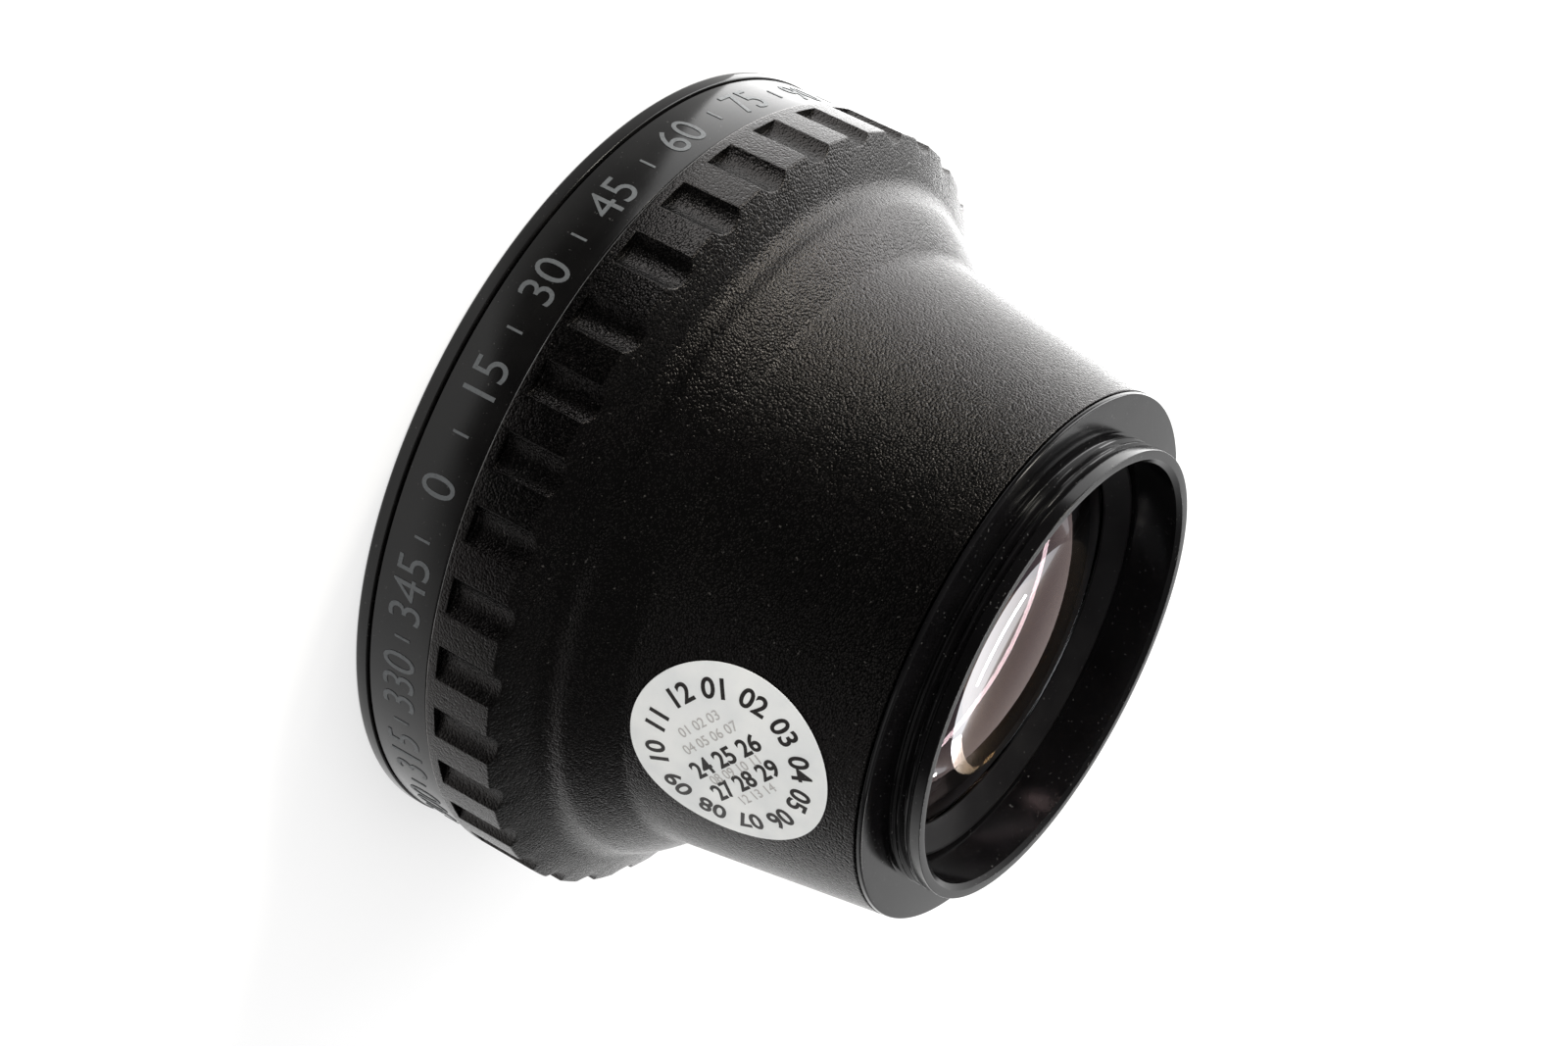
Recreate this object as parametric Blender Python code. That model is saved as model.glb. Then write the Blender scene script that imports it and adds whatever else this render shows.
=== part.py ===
"""Wide-angle conversion lens with a male 37 mm filter thread.

The lens stands on its front rim. Z is the optical axis and runs from the front rim, at 0, up to
the rear thread. Angles round the axis are measured from -Y towards +X. Sizes are in millimetres
and become metres where the meshes are made. The radii build up from the thread outwards, through
the rear bore, the cone and the shoulder to the flange, and from the flange in to the front glass.
"""
import math

import bmesh
import bpy
from mathutils import Vector

MM = 0.001

# Fits
CLEARANCE = 0.30
SEAM = 0.18
CEMENT_LINE = 0.15
EDGE_BREAK = 0.12

# Mount ring
THREAD_RADIUS = 18.50
THREAD_LENGTH = 2.90
THREAD_END_CHAMFER = 0.10
RELIEF_WIDTH = 0.30
RELIEF_DEPTH = 0.35
RELIEF_ROOT = 0.10
COLLAR_WALL = 1.10
COLLAR_MOUTH_DEPTH = 0.32
COLLAR_MOUTH_WIDTH = 0.40
MOUNT_FLANGE_THICKNESS = 0.36
MOUNT_SPIGOT_STEP = 1.60
POCKET_STEP = 0.40
LEDGE_WIDTH = 1.60
LEDGE_THICKNESS = 0.80

# Barrel outside, from the cone's rear end out to the flange
REAR_WALL = 1.39
CONE_FLARE = 2.81
CONE_HEIGHT = 18.35
SHOULDER_STEP = 7.30
SHOULDER_RISE = 2.12
FLANK_STEP = 3.50
FLANK_LEAN = 0.59
HOLLOW_REACH = 1.20
ROLL_RISE = 1.98
FILLET_HEIGHT = 6.95

# Grip flange
FLANGE_FRONT_BAND = 0.85
SCALLOP_COUNT = 35
SCALLOP_LENGTH = 4.85
SCALLOP_WIDTH = 2.95
SCALLOP_DEPTH = 0.75
SCALLOP_PHASE = -3.45

# Front bezel and name ring
BEZEL_STEP = 0.15
BEZEL_LIP_HEIGHT = 1.10
BEZEL_LIP_ROUND = 0.28
BEZEL_LIP_WALL = 0.75
BEZEL_RIM_WIDTH = 1.30
BEZEL_SPIGOT_WALL = 1.60
BEZEL_OPENING_LAND = 0.50
NAME_RING_STEP = 0.28
NAME_RING_HEIGHT = 5.30
NAME_RING_WALL = 0.72

# Barrel inside
FRONT_WALL = 1.10
SEAT_FLOOR = 1.64
CONE_WALL = 2.00
TAPER_START = 2.20

# Front glass
FRONT_GLASS_THICKNESS = 2.60
FRONT_CURVE = 95.0
BACK_CURVE = 42.0
SEAT_OVERLAP = 1.10
WASHER_THICKNESS = 0.40
SHIM_THICKNESS = 0.50

# Rear glasses
REAR_GLASS_DEPTH = 2.73
REAR_GLASS_RIM_WIDTH = 1.10
REAR_CURVE = 40.0
CROWN_EDGE_THICKNESS = 1.00
CEMENT_CURVE = 60.0
FLINT_EDGE_THICKNESS = 2.40
FLINT_CURVE = 45.0

# Rear retaining ring
RETAINER_HEIGHT = 1.50
RETAINER_LIP = 0.15
RETAINER_OVERLAP = 0.30
RETAINER_LAND = 0.25
SLOT_WIDTH = 1.20
SLOT_DEPTH = 0.80
SLOT_ANGLE = -80.0

# Light trap
STOP_THICKNESS = 0.40
STOP_LIP = 0.80
TUBE_STEPS = 5
TUBE_FRONT_WALL = 1.00
TUBE_REAR_WALL = 3.90

# Paper seal on the cone
SEAL_FRONT_MARGIN = 0.39
SEAL_REAR_MARGIN = 2.16
SEAL_THICKNESS = 0.10
SEAL_LIFT = 0.10
SEAL_ANGLE = 43.5

# Facets round the axis, rows across a curved surface, and the distance that welds points
OUTER_FACETS = 70
INNER_FACETS = 44
SCALLOP_FACETS = 24
GLASS_ROWS = 4
HOLLOW_ROWS = 3
ROLL_ROWS = 4
SEAL_FACETS = 28
SEAL_ROWS = 4
WELD = 0.0001
SHARP_EDGE = 30.0

# Radii that follow, from the thread out to the flange
MOUNT_SPIGOT_RADIUS = THREAD_RADIUS + MOUNT_SPIGOT_STEP
REAR_BORE_RADIUS = MOUNT_SPIGOT_RADIUS + CLEARANCE
CONE_REAR_RADIUS = REAR_BORE_RADIUS + REAR_WALL
CONE_FRONT_RADIUS = CONE_REAR_RADIUS + CONE_FLARE
FLANGE_RADIUS = CONE_FRONT_RADIUS + SHOULDER_STEP

# Radii at the front, from the flange in to the glass
BEZEL_RADIUS = FLANGE_RADIUS - BEZEL_STEP
NAME_RING_RADIUS = FLANGE_RADIUS - NAME_RING_STEP
NAME_RING_BORE = NAME_RING_RADIUS - NAME_RING_WALL
SPIGOT_RADIUS = NAME_RING_BORE - CLEARANCE
FRONT_BORE_RADIUS = SPIGOT_RADIUS - FRONT_WALL
FRONT_GLASS_RADIUS = FRONT_BORE_RADIUS - CLEARANCE
BEZEL_OPENING_RADIUS = FRONT_GLASS_RADIUS - BEZEL_SPIGOT_WALL
FRONT_CLEAR_RADIUS = BEZEL_OPENING_RADIUS - CLEARANCE
SEAT_RADIUS = CONE_FRONT_RADIUS - CONE_WALL
BACK_CLEAR_RADIUS = SEAT_RADIUS - SEAT_OVERLAP

# Radii at the rear, from the thread in to the glass
COLLAR_BORE_RADIUS = THREAD_RADIUS - COLLAR_WALL
POCKET_RADIUS = COLLAR_BORE_RADIUS - POCKET_STEP
REAR_GLASS_RADIUS = POCKET_RADIUS - CLEARANCE
REAR_CLEAR_RADIUS = REAR_GLASS_RADIUS - REAR_GLASS_RIM_WIDTH
STOP_RADIUS = REAR_CLEAR_RADIUS - STOP_LIP
TUBE_REAR_RADIUS = MOUNT_SPIGOT_RADIUS - TUBE_REAR_WALL

# Heights along the axis that follow
NAME_RING_FRONT = BEZEL_LIP_HEIGHT + SEAM
FLANGE_FRONT = NAME_RING_FRONT + NAME_RING_HEIGHT + SEAM
SCALLOP_FRONT = FLANGE_FRONT + FLANGE_FRONT_BAND
SHOULDER = SCALLOP_FRONT + SCALLOP_LENGTH
CONE_FRONT = SHOULDER + FILLET_HEIGHT
CONE_REAR = CONE_FRONT + CONE_HEIGHT
MOUNT_FLANGE_FRONT = CONE_REAR + SEAM
MOUNT_SHOULDER = MOUNT_FLANGE_FRONT + MOUNT_FLANGE_THICKNESS
REAR_RIM = MOUNT_SHOULDER + THREAD_LENGTH


def sag(curve, reach):
    """Depth of a spherical surface of radius curve at the distance reach from the axis."""
    return curve - math.sqrt(curve ** 2 - reach ** 2)


# Front stack, counted forward from the seat in the barrel
BARREL_SEAT = SHOULDER - SEAT_FLOOR
SHIM_FRONT = BARREL_SEAT - CLEARANCE - SHIM_THICKNESS
FRONT_GLASS_SEAT = SHIM_FRONT - CLEARANCE
FRONT_GLASS_BACK = FRONT_GLASS_SEAT - sag(BACK_CURVE, BACK_CLEAR_RADIUS)
FRONT_GLASS_APEX = FRONT_GLASS_BACK - FRONT_GLASS_THICKNESS
FRONT_GLASS_RIM = FRONT_GLASS_APEX + sag(FRONT_CURVE, FRONT_CLEAR_RADIUS)
WASHER_FRONT = FRONT_GLASS_RIM - CLEARANCE - WASHER_THICKNESS
BEZEL_BACK = WASHER_FRONT - CLEARANCE

# Rear stack, counted forward from the rear rim
CROWN_BACK = REAR_RIM - REAR_GLASS_DEPTH
CROWN_RIM = CROWN_BACK - sag(REAR_CURVE, REAR_CLEAR_RADIUS)
CROWN_EDGE = CROWN_RIM - CROWN_EDGE_THICKNESS
FLINT_REAR_EDGE = CROWN_EDGE - CEMENT_LINE
FLINT_RIM = FLINT_REAR_EDGE - FLINT_EDGE_THICKNESS
LEDGE_REAR = FLINT_RIM - CLEARANCE
SPIGOT_END = LEDGE_REAR - LEDGE_THICKNESS
STOP_FRONT = SPIGOT_END - CLEARANCE - STOP_THICKNESS
TUBE_REAR = STOP_FRONT - CLEARANCE

# Paper seal, between its margins on the cone
SEAL_DIAMETER = CONE_HEIGHT - SEAL_FRONT_MARGIN - SEAL_REAR_MARGIN
SEAL_HEIGHT = CONE_FRONT + SEAL_FRONT_MARGIN + SEAL_DIAMETER / 2


def cone_radius(height):
    """Outer radius of the cone, and of what lies flush with it, at a height."""
    slope = (CONE_FRONT_RADIUS - CONE_REAR_RADIUS) / CONE_HEIGHT
    return CONE_FRONT_RADIUS - slope * (height - CONE_FRONT)


def material(name, colour, roughness, metallic=0.0, transmission=0.0):
    """A Principled material with the colour and finish of one sub-part."""
    finish = bpy.data.materials.new(name)
    finish.use_nodes = True
    shader = finish.node_tree.nodes["Principled BSDF"]
    shader.inputs["Base Color"].default_value = (*colour, 1.0)
    shader.inputs["Roughness"].default_value = roughness
    shader.inputs["Metallic"].default_value = metallic
    shader.inputs["Transmission Weight"].default_value = transmission
    finish.diffuse_color = (*colour, 1.0)
    return finish


def link(name, mesh, finish, axis):
    """Makes the object of one sub-part, parented to the empty on the optical axis."""
    mesh.materials.append(finish)
    obj = bpy.data.objects.new(name, mesh)
    bpy.context.collection.objects.link(obj)
    obj.parent = axis
    return obj


def spun_mesh(name, outline, facets):
    """Turns an outline of (radius, height) points round the Z axis into one closed body."""
    bm = bmesh.new()
    points = [bm.verts.new((radius * MM, 0.0, height * MM)) for radius, height in outline]
    on_axis = outline[0][0] == 0.0
    for first, second in zip(points, points[1:]):
        bm.edges.new((first, second))
    if not on_axis:
        bm.edges.new((points[-1], points[0]))
    bmesh.ops.spin(bm, geom=bm.verts[:] + bm.edges[:], cent=(0, 0, 0), axis=(0, 0, 1),
                   angle=2 * math.pi, steps=facets, use_merge=True)
    bmesh.ops.remove_doubles(bm, verts=bm.verts, dist=WELD * MM)
    bmesh.ops.recalc_face_normals(bm, faces=bm.faces)
    mesh = bpy.data.meshes.new(name)
    bm.to_mesh(mesh)
    bm.free()
    mesh.shade_smooth()
    mesh.set_sharp_from_angle(angle=math.radians(SHARP_EDGE))
    return mesh


def turned(name, outline, facets, finish, axis, height=0.0):
    """A turned piece whose outline starts at its own front, placed at a height on the axis."""
    obj = link(name, spun_mesh(name, outline, facets), finish, axis)
    obj.location.z = height * MM
    return obj


def cutter(name, mesh, axis):
    """A cutting body that the viewport shows as wire and no render shows."""
    obj = bpy.data.objects.new(name, mesh)
    bpy.context.collection.objects.link(obj)
    obj.parent = axis
    obj.hide_render = True
    obj.display_type = "WIRE"
    return obj


def cut(obj, tool):
    """Subtracts a cutter from a piece."""
    boolean = obj.modifiers.new("cut_" + tool.name, "BOOLEAN")
    boolean.operation = "DIFFERENCE"
    boolean.solver = "EXACT"
    boolean.object = tool


def plain_ring(inner, outer, thickness):
    """Outline of a flat ring with its front face at 0."""
    return [(outer, thickness), (outer, 0.0), (inner, 0.0), (inner, thickness)]


def dome(curve, reach, rows):
    """Points of a spherical surface from its apex at 0 out to reach, where it has risen."""
    radii = [reach * row / rows for row in range(rows + 1)]
    return [(radius, sag(curve, radius)) for radius in radii]


def bend(start, corner, end, rows):
    """Points of a smooth bend from start to end, tangent to the two lines through corner."""
    points = []
    for row in range(rows + 1):
        share = row / rows
        point = start.lerp(corner, share).lerp(corner.lerp(end, share), share)
        points.append((point.x, point.y))
    return points


def front_bezel(finish, axis):
    """Lip with a rounded rim, a two-step mouth, and a spigot that clamps the front glass."""
    spigot = FRONT_GLASS_RADIUS
    rim = BEZEL_RADIUS - BEZEL_LIP_ROUND
    outline = [
        (spigot, BEZEL_BACK),
        (spigot, BEZEL_LIP_HEIGHT),
        (BEZEL_RADIUS - EDGE_BREAK, BEZEL_LIP_HEIGHT),
        (BEZEL_RADIUS, BEZEL_LIP_HEIGHT - EDGE_BREAK),
        (BEZEL_RADIUS, BEZEL_LIP_ROUND),
    ]
    middle = math.radians(45)
    outline += [
        (rim + BEZEL_LIP_ROUND * math.cos(middle), BEZEL_LIP_ROUND * (1 - math.sin(middle))),
        (rim, 0.0),
        (rim - BEZEL_RIM_WIDTH, 0.0),
        (spigot - BEZEL_LIP_WALL, BEZEL_LIP_HEIGHT),
        (BEZEL_OPENING_RADIUS, BEZEL_BACK - BEZEL_OPENING_LAND),
        (BEZEL_OPENING_RADIUS, BEZEL_BACK),
    ]
    return turned("front_bezel", outline, OUTER_FACETS, finish, axis)


def name_ring(finish, axis):
    """Plain band with broken edges that slides over the barrel's front spigot."""
    outline = [
        (NAME_RING_RADIUS - EDGE_BREAK, NAME_RING_HEIGHT),
        (NAME_RING_RADIUS, NAME_RING_HEIGHT - EDGE_BREAK),
        (NAME_RING_RADIUS, EDGE_BREAK),
        (NAME_RING_RADIUS - EDGE_BREAK, 0.0),
        (NAME_RING_BORE, 0.0),
        (NAME_RING_BORE, NAME_RING_HEIGHT),
    ]
    return turned("name_ring", outline, OUTER_FACETS, finish, axis, NAME_RING_FRONT)


def shoulder_curve():
    """The S-curve from the front of the cone out to the flange: it rolls over into a steep
    flank, and a hollow at the foot of the flank runs out into the sloped shoulder."""
    crease = Vector((CONE_FRONT_RADIUS, CONE_FRONT))
    foot = Vector((CONE_FRONT_RADIUS + FLANK_STEP, SHOULDER + SHOULDER_RISE))
    brow = foot + Vector((-FLANK_LEAN, ROLL_RISE))
    edge = Vector((FLANGE_RADIUS, SHOULDER))
    flank = foot + (brow - foot).normalized() * HOLLOW_REACH
    slope = foot + (edge - foot).normalized() * HOLLOW_REACH
    roll = bend(crease, brow, flank, ROLL_ROWS)
    hollow = bend(flank, foot, slope, HOLLOW_ROWS)
    return roll + hollow[1:]


def shoulder_height(depth):
    """How far the sloped shoulder has risen at a depth inside the flange's lands."""
    return depth * SHOULDER_RISE / (SHOULDER_STEP - FLANK_STEP)


def barrel_outline():
    """Half section of the barrel: down the outside from the rear, and back up the bore."""
    outside = [(CONE_REAR_RADIUS, CONE_REAR)] + shoulder_curve()
    outside += [
        (FLANGE_RADIUS - EDGE_BREAK, SHOULDER + shoulder_height(EDGE_BREAK)),
        (FLANGE_RADIUS, SHOULDER - EDGE_BREAK),
        (FLANGE_RADIUS, FLANGE_FRONT + EDGE_BREAK),
        (FLANGE_RADIUS - EDGE_BREAK, FLANGE_FRONT),
        (SPIGOT_RADIUS, FLANGE_FRONT),
        (SPIGOT_RADIUS, BEZEL_LIP_HEIGHT + CLEARANCE),
    ]
    inside = [
        (FRONT_BORE_RADIUS, BEZEL_LIP_HEIGHT + CLEARANCE),
        (FRONT_BORE_RADIUS, BARREL_SEAT),
        (SEAT_RADIUS, BARREL_SEAT),
        (SEAT_RADIUS, BARREL_SEAT + TAPER_START),
        (REAR_BORE_RADIUS, TUBE_REAR),
        (REAR_BORE_RADIUS, CONE_REAR),
    ]
    return outside + inside


def scallop_cutter(axis):
    """A ring of upright rods that cut the finger grooves, open at the shoulder."""
    half_width = SCALLOP_WIDTH / 2
    rod = (half_width ** 2 + SCALLOP_DEPTH ** 2) / (2 * SCALLOP_DEPTH)
    chord = math.sqrt(FLANGE_RADIUS ** 2 - half_width ** 2)
    reach = chord - SCALLOP_DEPTH + rod
    length = SCALLOP_LENGTH + shoulder_height(SCALLOP_DEPTH) + CLEARANCE
    bm = bmesh.new()
    for index in range(SCALLOP_COUNT):
        angle = math.radians(SCALLOP_PHASE + 360.0 * index / SCALLOP_COUNT)
        made = bmesh.ops.create_cone(
            bm, cap_ends=True, segments=SCALLOP_FACETS, radius1=rod * MM, radius2=rod * MM,
            depth=length * MM)
        centre = Vector((reach * math.sin(angle), -reach * math.cos(angle),
                         SCALLOP_FRONT + length / 2))
        bmesh.ops.translate(bm, verts=made["verts"], vec=centre * MM)
    mesh = bpy.data.meshes.new("scallop_cutter")
    bm.to_mesh(mesh)
    bm.free()
    return cutter("scallop_cutter", mesh, axis)


def barrel(finish, axis):
    """The painted body, with its scalloped grip flange."""
    obj = turned("barrel", barrel_outline(), OUTER_FACETS, finish, axis)
    cut(obj, scallop_cutter(axis))
    return obj


def front_element(finish, axis):
    """Negative meniscus: a shallow dome in front, a deep hollow behind, and flat rims."""
    back = FRONT_GLASS_THICKNESS
    hollow = [(radius, back + rise) for radius, rise in dome(BACK_CURVE, BACK_CLEAR_RADIUS, GLASS_ROWS)]
    front = dome(FRONT_CURVE, FRONT_CLEAR_RADIUS, GLASS_ROWS)
    outline = hollow + [
        (FRONT_GLASS_RADIUS, hollow[-1][1]),
        (FRONT_GLASS_RADIUS, front[-1][1]),
    ] + front[::-1]
    return turned("front_element", outline, INNER_FACETS, finish, axis, FRONT_GLASS_APEX)


def front_washer(finish, axis):
    """Thin soft ring between the bezel's spigot and the flat rim of the front glass."""
    outline = plain_ring(BEZEL_OPENING_RADIUS, FRONT_GLASS_RADIUS, WASHER_THICKNESS)
    return turned("front_washer", outline, INNER_FACETS, finish, axis, WASHER_FRONT)


def seat_shim(finish, axis):
    """Thin ring on the barrel's seat; the front glass and the baffle tube bear on it."""
    outline = plain_ring(BACK_CLEAR_RADIUS, FRONT_GLASS_RADIUS, SHIM_THICKNESS)
    return turned("seat_shim", outline, INNER_FACETS, finish, axis, SHIM_FRONT)


def baffle_tube(finish, axis):
    """Tapered tube inside the barrel, stepped inside so that it traps stray light."""
    length = TUBE_REAR - BARREL_SEAT
    front_outer = SEAT_RADIUS - CLEARANCE
    front_inner = front_outer - TUBE_FRONT_WALL
    outline = [
        (MOUNT_SPIGOT_RADIUS, length),
        (front_outer, TAPER_START),
        (front_outer, 0.0),
    ]
    for step in range(TUBE_STEPS):
        radius = front_inner + (TUBE_REAR_RADIUS - front_inner) * step / (TUBE_STEPS - 1)
        outline.append((radius, length * step / TUBE_STEPS))
        outline.append((radius, length * (step + 1) / TUBE_STEPS))
    return turned("baffle_tube", outline, INNER_FACETS, finish, axis, BARREL_SEAT)


def field_stop(finish, axis):
    """Thin stop ring between the baffle tube and the spigot of the mount ring."""
    outline = plain_ring(STOP_RADIUS, MOUNT_SPIGOT_RADIUS, STOP_THICKNESS)
    return turned("field_stop", outline, INNER_FACETS, finish, axis, STOP_FRONT)


def flint_glass(finish, axis):
    """Front half of the rear doublet: hollow towards the crown, slightly domed in front."""
    front = dome(FLINT_CURVE, REAR_CLEAR_RADIUS, GLASS_ROWS)
    front_rim = front[-1][1]
    rear_edge = front_rim + FLINT_EDGE_THICKNESS
    hollow_floor = rear_edge - sag(CEMENT_CURVE, REAR_GLASS_RADIUS)
    hollow = [(radius, hollow_floor + rise)
              for radius, rise in dome(CEMENT_CURVE, REAR_GLASS_RADIUS, GLASS_ROWS)]
    outline = hollow + [(REAR_GLASS_RADIUS, front_rim)] + front[::-1]
    return turned("flint_glass", outline, INNER_FACETS, finish, axis, FLINT_RIM - front_rim)


def crown_glass(finish, axis):
    """Rear half of the doublet: the strongly curved glass that shows inside the collar."""
    rear = dome(REAR_CURVE, REAR_CLEAR_RADIUS, GLASS_ROWS + 1)
    front = dome(CEMENT_CURVE, REAR_GLASS_RADIUS, GLASS_ROWS)
    rear_rim = front[-1][1] + CROWN_EDGE_THICKNESS
    rear_apex = rear_rim + rear[-1][1]
    outline = [(radius, rear_apex - drop) for radius, drop in rear]
    outline += [(REAR_GLASS_RADIUS, rear_rim)] + front[::-1]
    return turned("crown_glass", outline, INNER_FACETS, finish, axis, CROWN_RIM - rear_rim)


def slot_cutter(axis, reach):
    """A bar across the rear retaining ring that leaves its two spanner slots."""
    bm = bmesh.new()
    bmesh.ops.create_cube(bm, size=1.0)
    bmesh.ops.scale(bm, verts=bm.verts, vec=Vector((2 * reach, SLOT_WIDTH, 2 * SLOT_DEPTH)) * MM)
    mesh = bpy.data.meshes.new("slot_cutter")
    bm.to_mesh(mesh)
    bm.free()
    obj = cutter("slot_cutter", mesh, axis)
    obj.rotation_euler.z = math.radians(SLOT_ANGLE - 90)
    obj.location.z = (CROWN_RIM + CLEARANCE + RETAINER_HEIGHT) * MM
    return obj


def rear_retaining_ring(finish, axis):
    """Ring with a sloped rear face and two spanner slots that holds the rear doublet."""
    outer = COLLAR_BORE_RADIUS - CLEARANCE
    inner = REAR_CLEAR_RADIUS - RETAINER_OVERLAP
    outline = [
        (outer, RETAINER_HEIGHT),
        (outer, 0.0),
        (inner, 0.0),
        (inner, RETAINER_LIP),
        (outer - RETAINER_LAND, RETAINER_HEIGHT),
    ]
    obj = turned("rear_retaining_ring", outline, INNER_FACETS, finish, axis, CROWN_RIM + CLEARANCE)
    cut(obj, slot_cutter(axis, outer + SLOT_WIDTH))
    return obj


def mount_ring(finish, axis):
    """Shoulder and thread collar at the rear, with the spigot that carries the doublet."""
    relief = THREAD_RADIUS - RELIEF_DEPTH
    mouth = COLLAR_BORE_RADIUS + COLLAR_MOUTH_WIDTH
    ledge = POCKET_RADIUS - LEDGE_WIDTH
    flange_rear = cone_radius(MOUNT_SHOULDER)
    outline = [
        (THREAD_RADIUS - THREAD_END_CHAMFER, REAR_RIM),
        (THREAD_RADIUS, REAR_RIM - THREAD_END_CHAMFER),
        (THREAD_RADIUS, MOUNT_SHOULDER + RELIEF_WIDTH + RELIEF_DEPTH / 2),
        (relief, MOUNT_SHOULDER + RELIEF_WIDTH),
        (relief, MOUNT_SHOULDER + RELIEF_ROOT),
        (THREAD_RADIUS + RELIEF_ROOT, MOUNT_SHOULDER),
        (flange_rear - EDGE_BREAK, MOUNT_SHOULDER),
        (flange_rear, MOUNT_SHOULDER - EDGE_BREAK),
        (cone_radius(MOUNT_FLANGE_FRONT), MOUNT_FLANGE_FRONT),
        (MOUNT_SPIGOT_RADIUS, MOUNT_FLANGE_FRONT),
        (MOUNT_SPIGOT_RADIUS, SPIGOT_END),
        (ledge, SPIGOT_END),
        (ledge, LEDGE_REAR),
        (POCKET_RADIUS, LEDGE_REAR),
        (POCKET_RADIUS, CROWN_RIM),
        (COLLAR_BORE_RADIUS, CROWN_RIM),
        (COLLAR_BORE_RADIUS, REAR_RIM - COLLAR_MOUTH_DEPTH),
        (mouth, REAR_RIM),
    ]
    placed = [(radius, height - SPIGOT_END) for radius, height in outline]
    return turned("mount_ring", placed, OUTER_FACETS, finish, axis, SPIGOT_END)


def seal_sticker(finish, axis):
    """Round paper seal, laid on the cone and given its thickness outwards."""
    middle = cone_radius(SEAL_HEIGHT)
    tilt = math.atan2(CONE_FRONT_RADIUS - CONE_REAR_RADIUS, CONE_HEIGHT)
    bm = bmesh.new()
    spokes = [bm.verts.new((SEAL_DIAMETER / 2 * row / SEAL_ROWS, 0, 0)) for row in range(SEAL_ROWS + 1)]
    for first, second in zip(spokes, spokes[1:]):
        bm.edges.new((first, second))
    bmesh.ops.spin(bm, geom=bm.verts[:] + bm.edges[:], cent=(0, 0, 0), axis=(0, 0, 1),
                   angle=2 * math.pi, steps=SEAL_FACETS, use_merge=True)
    bmesh.ops.remove_doubles(bm, verts=bm.verts, dist=WELD)
    for vert in bm.verts:
        across, along = vert.co.x, vert.co.y
        turn = across / middle
        reach = middle - along * math.sin(tilt) + SEAL_LIFT
        vert.co = Vector((reach * math.sin(turn), -reach * math.cos(turn), along * math.cos(tilt))) * MM
    bmesh.ops.recalc_face_normals(bm, faces=bm.faces)
    if sum(face.normal.y for face in bm.faces) > 0:
        bmesh.ops.reverse_faces(bm, faces=bm.faces)
    mesh = bpy.data.meshes.new("seal_sticker")
    bm.to_mesh(mesh)
    bm.free()
    mesh.shade_smooth()
    obj = link("seal_sticker", mesh, finish, axis)
    obj.location.z = SEAL_HEIGHT * MM
    obj.rotation_euler.z = math.radians(SEAL_ANGLE)
    paper = obj.modifiers.new("paper", "SOLIDIFY")
    paper.thickness = SEAL_THICKNESS * MM
    paper.offset = 1.0
    return obj


def clear_scene():
    """Removes whatever the open scene holds."""
    for obj in list(bpy.data.objects):
        bpy.data.objects.remove(obj, do_unlink=True)


def build():
    """Makes every sub-part on one empty that marks the optical axis."""
    clear_scene()
    axis = bpy.data.objects.new("optical_axis", None)
    bpy.context.collection.objects.link(axis)

    satin = material("satin_black_anodising", (0.018, 0.017, 0.017), 0.42, metallic=0.2)
    paint = material("crinkle_black_paint", (0.022, 0.021, 0.020), 0.55)
    gloss = material("gloss_black_anodising", (0.010, 0.010, 0.011), 0.15, metallic=0.4)
    matt = material("matt_black_anodising", (0.012, 0.012, 0.013), 0.75)
    grey = material("dark_grey_anodising", (0.050, 0.050, 0.055), 0.50, metallic=0.3)
    glass = material("coated_glass", (0.75, 0.70, 0.76), 0.02, transmission=1.0)
    nylon = material("black_nylon", (0.020, 0.020, 0.020), 0.60)
    paper = material("white_seal_paper", (0.82, 0.82, 0.84), 0.45)

    front_bezel(satin, axis)
    name_ring(satin, axis)
    barrel(paint, axis)
    front_washer(nylon, axis)
    front_element(glass, axis)
    seat_shim(nylon, axis)
    baffle_tube(matt, axis)
    field_stop(matt, axis)
    flint_glass(glass, axis)
    crown_glass(glass, axis)
    rear_retaining_ring(grey, axis)
    mount_ring(gloss, axis)
    seal_sticker(paper, axis)


build()
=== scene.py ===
"""Wide-angle conversion lens on a white table: turned rings, painted barrel, thread and glasses.

The lens stands on its front rim, with Z along the optical axis. Sizes in the classes are in
millimetres and become metres where a mesh is made. Angles round the axis run from -Y towards +X.
Each surface is a grid of points, worked out as whole arrays, and turned into one closed mesh.
"""
import logging
import math
from dataclasses import dataclass
from enum import Enum

import bmesh
import bpy
import numpy as np
from mathutils import Matrix, Vector


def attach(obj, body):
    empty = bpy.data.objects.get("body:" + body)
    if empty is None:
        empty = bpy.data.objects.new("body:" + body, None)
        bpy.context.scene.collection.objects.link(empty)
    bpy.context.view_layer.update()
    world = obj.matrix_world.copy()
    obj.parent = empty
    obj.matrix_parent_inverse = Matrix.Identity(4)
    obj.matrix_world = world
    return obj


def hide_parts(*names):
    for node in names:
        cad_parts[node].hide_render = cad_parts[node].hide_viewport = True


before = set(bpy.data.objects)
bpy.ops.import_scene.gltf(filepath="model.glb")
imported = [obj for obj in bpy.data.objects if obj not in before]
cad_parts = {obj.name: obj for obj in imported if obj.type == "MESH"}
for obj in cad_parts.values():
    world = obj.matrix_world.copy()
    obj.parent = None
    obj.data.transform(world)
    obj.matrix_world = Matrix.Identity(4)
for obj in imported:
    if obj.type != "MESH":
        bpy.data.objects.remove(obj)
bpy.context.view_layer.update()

MM = 0.001
WELD = 2e-7
SHARP_EDGE = 38.0
LETTER_STEPS = 5
BODY = "root"

log = logging.getLogger("conversion_lens")


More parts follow.
